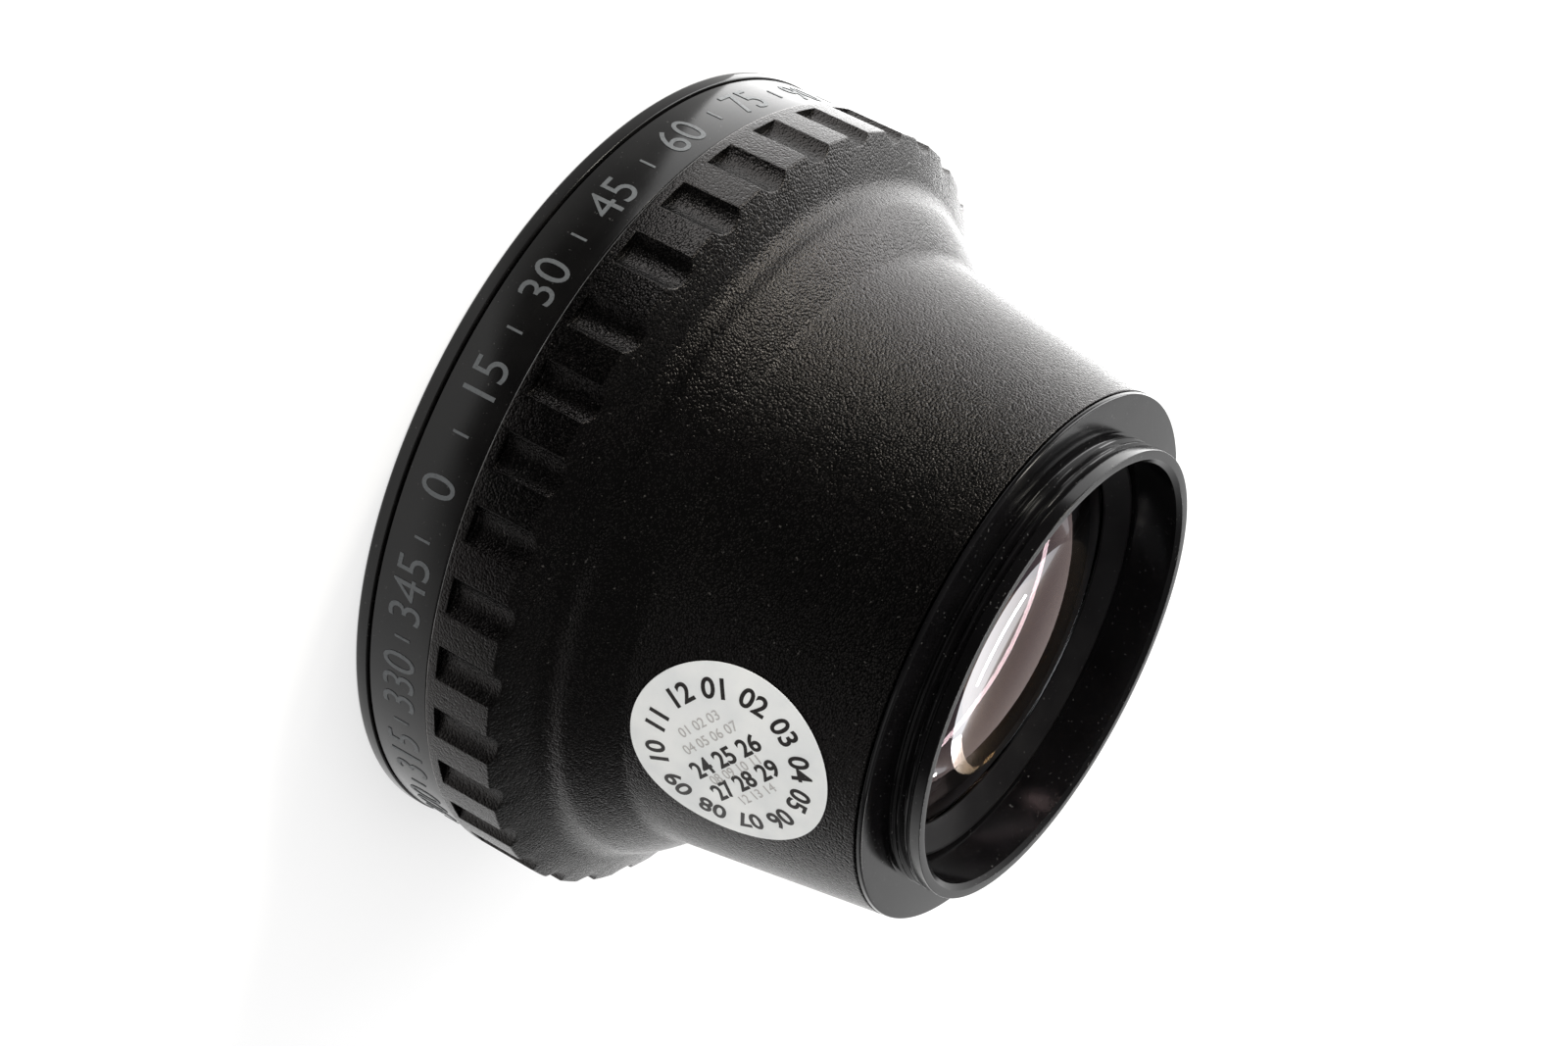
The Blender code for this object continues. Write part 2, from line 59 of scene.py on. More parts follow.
class Slot(Enum):
    """Material slots of the record."""

    SATIN_BLACK = "satin_black"
    CRINKLE_PAINT = "crinkle_paint"
    GLOSS_BLACK = "gloss_black"
    MATT_BLACK = "matt_black"
    DARK_GREY = "dark_grey"
    COATED_GLASS = "coated_glass"
    BLACK_NYLON = "black_nylon"
    SEAL_PAPER = "seal_paper"


# Grids, profiles and meshes


def polar(radius: np.ndarray, angle: np.ndarray, height: np.ndarray) -> np.ndarray:
    """Points round the axis: x = radius times sine, y = minus radius times cosine, z = height.

    Args:
        radius: Distances from the axis.
        angle: Angles in radians from -Y towards +X.
        height: Heights along the axis.

    Returns:
        Array of points, with x, y and z on its last axis.
    """
    radius, angle, height = np.broadcast_arrays(radius, angle, height)
    return np.stack([radius * np.sin(angle), -radius * np.cos(angle), height], axis=-1)


def even_angles(columns: int) -> np.ndarray:
    """Angles of evenly spaced columns round the axis."""
    return np.linspace(0.0, 2 * math.pi, columns, endpoint=False)


def quadratic_bend(start: np.ndarray, corner: np.ndarray, end: np.ndarray, rows: int) -> np.ndarray:
    """Curve tangent to the two lines that meet in a corner.

    Formula: corner + (1 - s) squared times (start - corner) + s squared times (end - corner).

    Args:
        start: Points (..., 2) where the curve begins.
        corner: Points (..., 2) where the lines would meet.
        end: Points (..., 2) where the curve ends.
        rows: Number of points on the curve.

    Returns:
        Array (..., rows, 2).
    """
    share = np.linspace(0.0, 1.0, rows)[:, None]
    start, corner, end = (np.asarray(point, float)[..., None, :] for point in (start, corner, end))
    return corner + (1 - share) ** 2 * (start - corner) + share ** 2 * (end - corner)


def rounded(corners: np.ndarray, bends: np.ndarray, rows: int, closed: bool = True) -> np.ndarray:
    """Replaces every corner of an outline by a quadratic bend.

    The bend's reach along each side is the wanted one, or 0.45 of the shorter side if that is less.

    Args:
        corners: Array (..., corners, 2) of (radius, height).
        bends: Wanted reach of each bend, 0 for a sharp corner.
        rows: Number of points in each bend.
        closed: Whether the last corner is joined to the first one.

    Returns:
        Array (..., corners times rows, 2).
    """
    corners = np.asarray(corners, float)
    before = np.roll(corners, 1, axis=-2) - corners
    after = np.roll(corners, -1, axis=-2) - corners
    if not closed:
        before[..., 0, :] = 0.0
        after[..., -1, :] = 0.0
    lengths = [np.linalg.norm(side, axis=-1) for side in (before, after)]
    reach = np.minimum(np.asarray(bends, float), 0.45 * np.minimum(*lengths))[..., None]
    starts, ends = (
        corners + side / np.maximum(length, 1e-9)[..., None] * reach
        for side, length in zip((before, after), lengths))
    curve = quadratic_bend(starts, corners, ends, rows)
    return curve.reshape(*curve.shape[:-3], -1, 2)


def dome(curve: float, reach: float, apex: float, rows: int, rises: float = 1.0) -> np.ndarray:
    """Section of a spherical surface from the axis out to a reach.

    Formula: height = apex + rises times (curve - square root of (curve squared - radius squared)).

    Args:
        curve: Radius of the sphere.
        reach: Radius at which the surface ends.
        apex: Height of the surface on the axis.
        rows: Number of points.
        rises: 1 where the surface climbs outwards, -1 where it falls.

    Returns:
        Array (rows, 2) of (radius, height).
    """
    radius = reach * np.sin(np.linspace(0.0, math.pi / 2, rows))
    return np.stack([radius, apex + rises * (curve - np.sqrt(curve ** 2 - radius ** 2))], axis=-1)


def tidy_mesh(name: str, mesh: bpy.types.Mesh) -> bpy.types.Object:
    """Merges doubles, turns all faces outwards and makes the object of one piece.

    Args:
        name: Name of the piece.
        mesh: Its mesh in metres.

    Returns:
        The linked object, at the origin.
    """
    shell = bmesh.new()
    shell.from_mesh(mesh)
    bmesh.ops.remove_doubles(shell, verts=shell.verts, dist=WELD)
    bmesh.ops.dissolve_degenerate(shell, edges=shell.edges, dist=WELD)
    bmesh.ops.recalc_face_normals(shell, faces=shell.faces)
    shell.to_mesh(mesh)
    shell.free()
    mesh.shade_smooth()
    mesh.set_sharp_from_angle(angle=math.radians(SHARP_EDGE))
    piece = bpy.data.objects.new(name, mesh)
    bpy.context.collection.objects.link(piece)
    return piece


def grid_piece(name: str, points: np.ndarray, ring: bool) -> bpy.types.Object:
    """Closed piece from a grid of points in millimetres.

    Args:
        name: Name of the piece.
        points: Array (columns, rows, 3). The columns always close on themselves.
        ring: True where the rows close too; False where they start and end on the axis.

    Returns:
        The piece.
    """
    columns, rows = points.shape[:2]
    column = np.arange(columns)[:, None]
    row = np.arange(rows if ring else rows - 1)[None, :]
    next_column, next_row = (column + 1) % columns, (row + 1) % rows
    quads = np.stack([column * rows + row, next_column * rows + row,
                      next_column * rows + next_row, column * rows + next_row], axis=-1)
    mesh = bpy.data.meshes.new(name)
    mesh.from_pydata((points.reshape(-1, 3) * MM).tolist(), [], quads.reshape(-1, 4).tolist())
    return tidy_mesh(name, mesh)


def turned_piece(name: str, outline: np.ndarray, angles: np.ndarray, ring: bool = True) -> bpy.types.Object:
    """Turns an outline, or one outline for each angle, round the axis.

    Args:
        name: Name of the piece.
        outline: Array (rows, 2), or (angles, rows, 2), of (radius, height).
        angles: Angles of the columns.
        ring: False where the outline starts and ends on the axis.

    Returns:
        The piece.
    """
    points = polar(outline[..., 0], angles[:, None], outline[..., 1])
    return grid_piece(name, points, ring)


# Materials


class NodeKit:
    """Adds and links the nodes of one tree."""

    def __init__(self, tree: bpy.types.NodeTree) -> None:
        """Starts on a node tree."""
        self.nodes = tree.nodes
        self.links = tree.links

    def feed(self, socket: bpy.types.NodeSocket, value: object) -> None:
        """Links a socket where the value is one, and sets the number or colour otherwise."""
        if isinstance(value, bpy.types.NodeSocket):
            self.links.new(value, socket)
        else:
            socket.default_value = value

    def add(self, kind: str, inputs: dict, **settings: object) -> bpy.types.Node:
        """Adds one node.

        Args:
            kind: Type of the node.
            inputs: Values or sockets by the names or numbers of the node's inputs.
            **settings: Properties of the node itself.

        Returns:
            The node.
        """
        node = self.nodes.new(kind)
        for key, value in settings.items():
            setattr(node, key, value)
        for key, value in inputs.items():
            self.feed(node.inputs[key], value)
        return node

    def remap(self, value: bpy.types.NodeSocket, low: float, high: float, first: object,
              last: object) -> bpy.types.NodeSocket:
        """Moves the range from low to high onto the range from first to last, clamped."""
        return self.add("ShaderNodeMapRange", {
            "Value": value, "From Min": low, "From Max": high, "To Min": first,
            "To Max": last}).outputs["Result"]

    def blend(self, share: bpy.types.NodeSocket, first: object, second: object) -> bpy.types.NodeSocket:
        """Colour that goes from the first one to the second one with a share."""
        node = self.add("ShaderNodeMix", {0: share, 6: first, 7: second}, data_type="RGBA")
        return node.outputs[2]

    def maths(self, operation: str, *values: object) -> bpy.types.NodeSocket:
        """Result of one sum on numbers or sockets."""
        return self.add("ShaderNodeMath", dict(enumerate(values)), operation=operation).outputs[0]

    def vector(self, operation: str, *values: object) -> bpy.types.NodeSocket:
        """Result of one sum on vectors: a number for a dot product or a length, else a vector."""
        node = self.add("ShaderNodeVectorMath", dict(enumerate(values)), operation=operation)
        return node.outputs["Value" if operation in ("DOT_PRODUCT", "LENGTH") else "Vector"]


class Recipe(NodeKit):
    """Node material put together step by step on Object coordinates."""

    def __init__(self, name: str) -> None:
        """Starts the material with its Principled shader.

        Args:
            name: Name of the material.
        """
        self.material = bpy.data.materials.new(name)
        self.material.use_nodes = True
        super().__init__(self.material.node_tree)
        self.shader = self.nodes["Principled BSDF"]
        self.place = self.nodes.new("ShaderNodeTexCoord").outputs["Object"]

    def noise(self, size: float, detail: float = 2.0, place: bpy.types.NodeSocket | None = None,
              rough: float = 0.5) -> bpy.types.NodeSocket:
        """Noise whose features are about as wide as a size in millimetres."""
        node = self.add("ShaderNodeTexNoise", {
            "Vector": place or self.place, "Scale": 1 / (size * MM), "Detail": detail, "Roughness": rough})
        return node.outputs["Fac"]

    def pebbles(self, size: float, place: bpy.types.NodeSocket) -> bpy.types.NodeSocket:
        """Low domes about as wide as a size in millimetres.

        Formula: minus the square of the distance to the nearest cell's middle.

        Args:
            size: Width of a dome.
            place: Place that the pattern reads.

        Returns:
            Socket with the height.
        """
        node = self.add("ShaderNodeTexVoronoi", {"Vector": place, "Scale": 1 / (size * MM)})
        far = node.outputs["Distance"]
        return self.maths("MULTIPLY", self.maths("MULTIPLY", far, far), -1.0)

    def rings(self) -> bpy.types.NodeSocket:
        """Place made of the distance from the axis and the height, the same all the way round."""
        parts = self.add("ShaderNodeSeparateXYZ", {"Vector": self.place}).outputs
        square = self.maths("ADD", self.maths("MULTIPLY", parts[0], parts[0]),
                            self.maths("MULTIPLY", parts[1], parts[1]))
        return self.add("ShaderNodeCombineXYZ", {
            0: self.maths("SQRT", square), 2: parts[2]}).outputs[0]

    def bump(self, height: bpy.types.NodeSocket, depth: float) -> bpy.types.NodeSocket:
        """Normal of a relief whose depth is in millimetres."""
        inputs = {"Height": height, "Distance": depth * MM, "Strength": 1.0}
        return self.add("ShaderNodeBump", inputs).outputs["Normal"]

    def finish(self, **sockets: object) -> bpy.types.Material:
        """Feeds the shader's sockets, with _ for a space in their names, and returns the material."""
        for name, value in sockets.items():
            self.feed(self.shader.inputs[name.replace("_", " ")], value)
        return self.material


@dataclass(frozen=True)
class CrinklePaint:
    """Thin black paint that dried with a fine leathery grain: painted shade darkens the grain's hollows,
    and the peaks keep the paint's patchy, dusty tone.
    """

    name: str = "fine_crinkle_paint"
    slot: Slot = Slot.CRINKLE_PAINT
    # Painted shade: the next colour darkens the hollows of the grain; the height range further down sets
    # where it fades into the paint's own tone.
    hollow_shade: tuple = (0.0003, 0.0003, 0.0003, 1.0)
    deep: tuple = (0.0042, 0.0039, 0.0038, 1.0)
    dusty: tuple = (0.0090, 0.0082, 0.0076, 1.0)
    speck: tuple = (0.060, 0.056, 0.052, 1.0)
    # Painted highlight: a lighter metallic grey along the flange's front edge between the two heights
    # below, broken up by noise of the size below like worn paint.
    painted_edge_highlight: tuple = (0.30, 0.30, 0.30, 1.0)
    painted_highlight_heights: tuple = (6.79, 6.89)
    painted_highlight_share: float = 0.8
    highlight_break_size: float = 1.6
    grain: float = 0.19
    fine_grain: float = 0.10
    fine_share: float = 0.30
    warp_size: float = 0.9
    warp_reach: float = 0.35
    patch_size: float = 7.0
    speck_size: float = 0.30
    speck_range: tuple = (0.73, 0.78)
    hollow_shade_range: tuple = (-0.02, 0.12)
    gloss: tuple = (0.19, 0.24)
    relief: float = 0.040
    specular: float = 0.20
    sheen: tuple = (1.0, 0.93, 0.90, 1.0)

    def material(self) -> bpy.types.Material:
        """Pebbled relief with uneven gloss, patches of duller and dustier paint, light specks, painted
        shade in the grain's hollows, and a painted highlight line along the flange's front edge, broken up
        by noise like worn paint.
        """
        mix = Recipe(self.name)
        warp = mix.add("ShaderNodeTexNoise", {"Vector": mix.place, "Scale": 1 / (self.warp_size * MM)})
        shifted = mix.vector("MULTIPLY_ADD", warp.outputs["Color"], (self.warp_reach * MM,) * 3, mix.place)
        fine = mix.noise(self.fine_grain, 3.0)
        height = mix.maths("MULTIPLY_ADD", fine, self.fine_share, mix.pebbles(self.grain, shifted))
        level = mix.add("ShaderNodeSeparateXYZ", {"Vector": mix.place}).outputs[2]
        # Painted highlight line at the flange's front edge: full below the first height, gone by the
        # second, broken up by noise like worn paint.
        front, rear = (height_mm * MM for height_mm in self.painted_highlight_heights)
        edge = mix.remap(level, front, rear, self.painted_highlight_share, 0.0)
        highlight_breaks = mix.remap(mix.noise(self.highlight_break_size, 3.0), 0.30, 0.60, 0.25, 1.0)
        painted_edge_highlight = mix.maths("MULTIPLY", edge, highlight_breaks)
        patches = mix.remap(mix.noise(self.patch_size, 4.0), 0.35, 0.68, 0.0, 1.0)
        # Painted shade: low places of the relief take the near-black colour, high places keep the paint's
        # patchy tone.
        unshaded_share = mix.remap(height, *self.hollow_shade_range, 0.0, 1.0)
        colour = mix.blend(unshaded_share, self.hollow_shade, mix.blend(patches, self.deep, self.dusty))
        specks = mix.remap(mix.noise(self.speck_size, 1.0), *self.speck_range, 0.0, 0.6)
        valleys = mix.remap(fine, 0.35, 0.65, -0.04, 0.08)
        return mix.finish(
            # The base colour carries the painted edge highlight over the specks and the paint's tone;
            # metallic follows the same mask.
            Base_Color=mix.blend(painted_edge_highlight, mix.blend(specks, colour, self.speck), self.painted_edge_highlight),
            Metallic=painted_edge_highlight,
            Roughness=mix.maths("ADD", mix.remap(patches, 0.0, 1.0, *self.gloss), valleys),
            Normal=mix.bump(height, self.relief),
            Specular_IOR_Level=self.specular, Specular_Tint=self.sheen)


@dataclass(frozen=True)
class TurnedMetal:
    """Anodised aluminium with the fine lines that the turning tool leaves."""

    name: str
    slot: Slot
    colour: tuple
    faded: tuple
    smooth: float
    dull: float
    line: float = 0.07
    relief: float = 0.0016
    specular: float = 0.30
    dust: float = 0.35
    clean: float = 0.735
    dust_size: float = 0.24
    dust_colour: tuple = (0.10, 0.098, 0.094, 1.0)
    band_lines: float = 9.0
    wipe_size: float = 3.5
    wipe_share: float = 0.6

    def material(self) -> bpy.types.Material:
        """Rings of slightly changing gloss, faint wipe marks and a little dust."""
        mix = Recipe(self.name)
        rings = mix.rings()
        lines = mix.noise(self.line, 2.0, rings)
        bands = mix.noise(self.line * self.band_lines, 2.0, rings)
        wipes = mix.noise(self.wipe_size, 5.0)
        gloss = mix.maths("ADD", mix.maths("MULTIPLY", bands, 1 - self.wipe_share),
                          mix.maths("MULTIPLY", wipes, self.wipe_share))
        dust = mix.remap(mix.noise(self.dust_size, 1.0), self.clean, self.clean + 0.04, 0.0, self.dust)
        faded = mix.blend(mix.remap(wipes, 0.35, 0.70, 0.0, 1.0), self.colour, self.faded)
        return mix.finish(
            Base_Color=mix.blend(dust, faded, self.dust_colour),
            Roughness=mix.remap(gloss, 0.30, 0.70, self.smooth, self.dull),
            Normal=mix.bump(lines, self.relief),
            Specular_IOR_Level=self.specular)


@dataclass(frozen=True)
class CoatedGlass:
    """Polished glass with a thin anti-reflection layer and a few wipe marks."""

    name: str = "coated_optical_glass"
    slot: Slot = Slot.COATED_GLASS
    tint: tuple = (0.93, 0.89, 0.91, 1.0)
    pale_tint: tuple = (0.95, 0.92, 0.93, 1.0)
    index: float = 1.70
    film: float = 122.0
    film_index: float = 1.38
    sheen: tuple = (1.0, 0.91, 0.89, 1.0)

    def material(self) -> bpy.types.Material:
        """Clear body; wipe marks change the roughness a little."""
        mix = Recipe(self.name)
        marks = mix.remap(mix.noise(4.0, 6.0, rough=0.6), 0.48, 0.74, 0.0, 0.02)
        clouds = mix.remap(mix.noise(9.0, 2.0), 0.3, 0.7, 0.0, 1.0)
        tint = mix.blend(clouds, self.tint, self.pale_tint)
        return mix.finish(
            Base_Color=tint, Roughness=marks, Transmission_Weight=1.0, IOR=self.index,
            Thin_Film_Thickness=self.film, Thin_Film_IOR=self.film_index, Specular_Tint=self.sheen)


@dataclass(frozen=True)
class MouldedNylon:
    """Matt moulded plastic with a faint flow grain."""

    name: str = "moulded_black_nylon"
    slot: Slot = Slot.BLACK_NYLON
    colour: tuple = (0.006, 0.006, 0.006, 1.0)
    pale: tuple = (0.012, 0.012, 0.011, 1.0)

    def material(self) -> bpy.types.Material:
        """Fine even grain with small changes of tone."""
        mix = Recipe(self.name)
        grain = mix.noise(0.12, 4.0)
        return mix.finish(
            Base_Color=mix.blend(mix.noise(2.5, 3.0), self.colour, self.pale),
            Roughness=mix.remap(grain, 0.3, 0.7, 0.50, 0.66), Normal=mix.bump(grain, 0.008),
            Specular_IOR_Level=0.3)


@dataclass(frozen=True)
class SealPaper:
    """Satin label stock: white, with short fibres and a cool, slightly uneven face."""

    name: str = "white_label_stock"
    slot: Slot = Slot.SEAL_PAPER
    white: tuple = (0.90, 0.90, 0.875, 1.0)
    cool: tuple = (0.80, 0.81, 0.80, 1.0)
    fibre: tuple = (0.46, 0.49, 0.55, 1.0)

    def material(self) -> bpy.types.Material:
        """Fibres in the relief and the tone, and a soft cloud in the gloss."""
        mix = Recipe(self.name)
        fibres = mix.noise(0.16, 5.0, rough=0.7)
        clouds = mix.noise(3.0, 3.0)
        tone = mix.blend(mix.remap(clouds, 0.3, 0.7, 0.0, 1.0), self.white, self.cool)
        flecks = mix.remap(fibres, 0.60, 0.78, 0.0, 0.22)
        return mix.finish(
            Base_Color=mix.blend(flecks, tone, self.fibre),
            Roughness=mix.remap(clouds, 0.3, 0.7, 0.34, 0.50), Normal=mix.bump(fibres, 0.004),
            Specular_IOR_Level=0.4)


@dataclass(frozen=True)
class PrintedInk:
    """Thin screen print, a little worn."""

    name: str
    slot: Slot
    colour: tuple
    worn: tuple
    rough: float = 0.5
    pore_size: float = 0.20

    def material(self) -> bpy.types.Material:
        """Small pores and thin places in the print."""
        mix = Recipe(self.name)
        pores = mix.noise(self.pore_size, 4.0, rough=0.65)
        return mix.finish(
            Base_Color=mix.blend(mix.remap(pores, 0.50, 0.72, 0.0, 0.8), self.colour, self.worn),
            Roughness=mix.remap(pores, 0.3, 0.7, self.rough - 0.05, self.rough + 0.08),
            Normal=mix.bump(pores, 0.003), Specular_IOR_Level=0.3)


PAINT = CrinklePaint()
SATIN = TurnedMetal("satin_black_anodising", Slot.SATIN_BLACK, (0.0032, 0.0030, 0.0030, 1.0),
                    (0.0055, 0.0052, 0.0050, 1.0), 0.17, 0.26, specular=0.26)
GLOSS = TurnedMetal("gloss_black_anodising", Slot.GLOSS_BLACK, (0.0026, 0.0024, 0.0026, 1.0),
                    (0.0045, 0.0042, 0.0045, 1.0), 0.11, 0.20, specular=0.24, dust=0.60, clean=0.725)
MATT = TurnedMetal("matt_black_anodising", Slot.MATT_BLACK, (0.0034, 0.0034, 0.0036, 1.0),
                   (0.0055, 0.0055, 0.0058, 1.0), 0.55, 0.72, line=0.11, relief=0.004, specular=0.08)
RING_GREY = TurnedMetal("dark_grey_anodising", Slot.DARK_GREY, (0.0060, 0.0055, 0.0060, 1.0),
                        (0.0100, 0.0095, 0.0098, 1.0), 0.30, 0.46, line=0.09, relief=0.003, specular=0.07)
GLASS = CoatedGlass()
NYLON = MouldedNylon()
PAPER = SealPaper()
BAND_PRINT = PrintedInk("grey_band_print", Slot.SATIN_BLACK, (0.098, 0.103, 0.106, 1.0),
                        (0.056, 0.059, 0.061, 1.0))
SEAL_PRINT = PrintedInk("dark_seal_print", Slot.SEAL_PAPER, (0.016, 0.013, 0.012, 1.0),
                        (0.05, 0.046, 0.044, 1.0), 0.42)
GHOST_PRINT = PrintedInk("pale_seal_print", Slot.SEAL_PAPER, (0.48, 0.46, 0.44, 1.0),
                         (0.60, 0.60, 0.60, 1.0), 0.45)


class Workshop:
    """Dresses pieces and hands them to the frame."""

    def __init__(self) -> None:
        """Starts with no material made yet."""
        self.made: dict[str, bpy.types.Material] = {}

    def material(self, finish: object) -> bpy.types.Material:
        """The material of a finish, made once."""
        if finish.name not in self.made:
            self.made[finish.name] = finish.material()
        return self.made[finish.name]

    def show(self, piece: bpy.types.Object, finish: object, *nodes: str) -> bpy.types.Object:
        """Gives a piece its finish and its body.

        Args:
            piece: The new piece.
            finish: The finish that it wears.
            *nodes: CAD nodes that it stands for.

        Returns:
            The same piece.
        """
        piece.data.materials.clear()
        piece.data.materials.append(self.material(finish))
        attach(piece, BODY)
        if nodes:
            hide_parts(*nodes)
        log.info("%s: %d points, finish %s", piece.name, len(piece.data.vertices), finish.name)
        return piece

    def coat(self, node: str, finish: object) -> None:
        """Puts a finish on a CAD node that keeps its shape.

        Args:
            node: Name of the node.
            finish: The finish that it wears.
        """
        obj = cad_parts[node]
        for place in obj.material_slots:
            place.material = self.material(finish)
        log.info("%s: CAD solid, finish %s", node, finish.name)


# Sub-assemblies


@dataclass
class FrontRings:
    """Front bezel with its rounded rim, and the plain band behind it."""

    bezel_radius: float = 31.75
    lip_height: float = 1.10
    rim_round: float = 0.28
    rim_width: float = 1.30
    spigot_radius: float = 29.20
    mouth_radius: float = 28.45
    opening_radius: float = 27.60
    opening_front: float = 3.71
    bezel_back: float = 4.21
    band_radius: float = 31.62
    band_bore: float = 30.90
    band_front: float = 1.28
    band_rear: float = 6.58
    edge: float = 0.12
    columns: int = 360

    def bezel(self) -> bpy.types.Object:
        """Lip, sloped mouth and clamping spigot in one turned outline."""
        rim = self.bezel_radius - self.rim_round
        corners = [
            (self.spigot_radius, self.bezel_back), (self.spigot_radius, self.lip_height),
            (self.bezel_radius, self.lip_height), (self.bezel_radius, 0.0),
            (rim - self.rim_width, 0.0), (self.mouth_radius, self.lip_height),
            (self.opening_radius, self.opening_front), (self.opening_radius, self.bezel_back)]
        bends = [self.edge, 0.0, self.edge, self.rim_round, self.edge, 0.3, 0.2, 0.08]
        return turned_piece("bezel_ring", rounded(corners, bends, 6), even_angles(self.columns))

    def band(self) -> bpy.types.Object:
        """Plain band with broken edges."""
        corners = [(self.band_radius, self.band_rear), (self.band_radius, self.band_front),
                   (self.band_bore, self.band_front), (self.band_bore, self.band_rear)]
        bends = [self.edge, self.edge, 0.05, 0.05]
        return turned_piece("name_band", rounded(corners, bends, 6), even_angles(self.columns))

    def build(self, shop: Workshop) -> None:
        """Makes both rings and the washer behind the bezel."""
        shop.show(self.bezel(), SATIN, "front_bezel")
        shop.show(self.band(), SATIN, "name_ring")
        shop.coat("front_washer", NYLON)


@dataclass
class Barrel:
    """Painted body: scalloped grip flange, S-curved shoulder and cone."""

    flange_radius: float = 31.90
    flange_front: float = 6.76
    groove_front: float = 7.61
    shoulder: float = 12.46
    slope: float = 2.12 / 3.80
    crease: tuple = (24.60, 19.41)
    brow: tuple = (27.51, 16.56)
    foot: tuple = (28.10, 14.58)
    hollow_reach: float = 1.20
    cone_rear: tuple = (21.79, 37.76)
    bore: float = 20.40
    spigot_radius: float = 30.60
    spigot_front: float = 1.40
    front_bore: float = 29.50
    seat: float = 10.82
    seat_radius: float = 22.60
    taper_start: float = 13.02
    taper_end: float = 29.65
    grooves: int = 35
    first_groove: float = -3.45
    rod_radius: float = 1.8254
    rod_distance: float = 32.941
    groove_half_angle: float = 2.65
    groove_columns: int = 17
    land_steps: tuple = (0.05, 0.13, 0.28, 0.62, 1.40)
    edge: float = 0.12
    edge_blend: float = 0.025

    def angles(self) -> tuple[np.ndarray, np.ndarray]:
        """Columns that gather at the edges of the grooves.

        Inside a groove the columns follow the sine of an even spread, on the land they step away
        from its edge in growing steps.

        Returns:
            Angles round the axis, and the same angles measured from the nearest groove's middle.
        """
        half = math.radians(self.groove_half_angle)
        pitch = 2 * math.pi / self.grooves
        inside = half * np.sin(np.linspace(-math.pi / 2, math.pi / 2, self.groove_columns))
        steps = half + np.radians(self.land_steps)
        local = np.concatenate([-steps[::-1], inside, steps, [pitch / 2]])
        middles = math.radians(self.first_groove) + pitch * np.arange(self.grooves)
        return (middles[:, None] + local).ravel(), np.tile(local, self.grooves)

    def grip_radius(self, local: np.ndarray) -> np.ndarray:
        """Radius of the grip at an angle from a groove's middle.

        Formula: the smaller of the land's radius and a round rod's near side, which is
        distance times cosine minus the root of (rod squared minus (distance times sine) squared),
        blended by the logarithm of the sum of their exponentials.

        Args:
            local: Angles from the middle of the nearest groove.

        Returns:
            Array of radii.
        """
        depth = self.rod_radius ** 2 - (self.rod_distance * np.sin(local)) ** 2
        rod = self.rod_distance * np.cos(local) - np.sqrt(np.maximum(depth, 0.0))
        gap = np.clip((rod - self.flange_radius) / self.edge_blend, -60.0, 60.0)
        return self.flange_radius - self.edge_blend * np.log1p(np.exp(-gap))

    def shoulder_curve(self) -> np.ndarray:
        """S-curve from the cone's front out to the sloped shoulder, as two quadratic bends."""
        crease, brow, foot = (np.array(point) for point in (self.crease, self.brow, self.foot))
        edge = np.array([self.flange_radius, self.shoulder])
        flank = foot + (brow - foot) / np.linalg.norm(brow - foot) * self.hollow_reach
        slope = foot + (edge - foot) / np.linalg.norm(edge - foot) * self.hollow_reach
        return np.concatenate([quadratic_bend(crease, brow, flank, 14),
                               quadratic_bend(flank, foot, slope, 9)[1:]])

    def outlines(self, local: np.ndarray) -> np.ndarray:
        """Closed outline of the barrel's wall for every column.

        Args:
            local: Angles from the middle of the nearest groove.

        Returns:
            Array (columns, rows, 2).
        """
        radius = self.grip_radius(local)
        count = len(radius)

        def steady(*points: tuple) -> np.ndarray:
            """The same points for every column."""
            return np.broadcast_to(np.array(points, float), (count, len(points), 2))

        def moving(distance: np.ndarray, height: np.ndarray | float) -> np.ndarray:
            """One point for each column."""
            return np.stack([distance, np.broadcast_to(height, distance.shape)], axis=-1)[:, None, :]

        rise = (self.flange_radius - radius) * self.slope
        curve = self.shoulder_curve()
        grip = np.concatenate([
            steady(tuple(curve[-1])), moving(radius, self.shoulder + rise),
            moving(radius, self.groove_front),
            steady((self.flange_radius, self.groove_front), (self.flange_radius, self.flange_front),
                   (self.spigot_radius, self.flange_front), (self.spigot_radius, self.spigot_front),
                   (self.front_bore, self.spigot_front), (self.front_bore, self.seat),
                   (self.seat_radius, self.seat), (self.seat_radius, self.taper_start),
                   (self.bore, self.taper_end), (self.bore, self.cone_rear[1]), self.cone_rear,
                   self.crease)], axis=1)
        bends = [0.0, 0.14, 0.07, 0.06, self.edge, 0.0, 0.15, 0.15, 0.0, 0.2, 0.3, 0.3, 0.1, self.edge, 0.0]
        return np.concatenate([np.broadcast_to(curve, (count, *curve.shape)),
                               rounded(grip, bends, 5, closed=False)], axis=1)

    def build(self, shop: Workshop) -> None:
        """Makes the painted barrel and dresses the shim on its seat."""
        angles, local = self.angles()
        shop.show(turned_piece("painted_barrel", self.outlines(local), angles), PAINT, "barrel")
        shop.coat("seat_shim", NYLON)


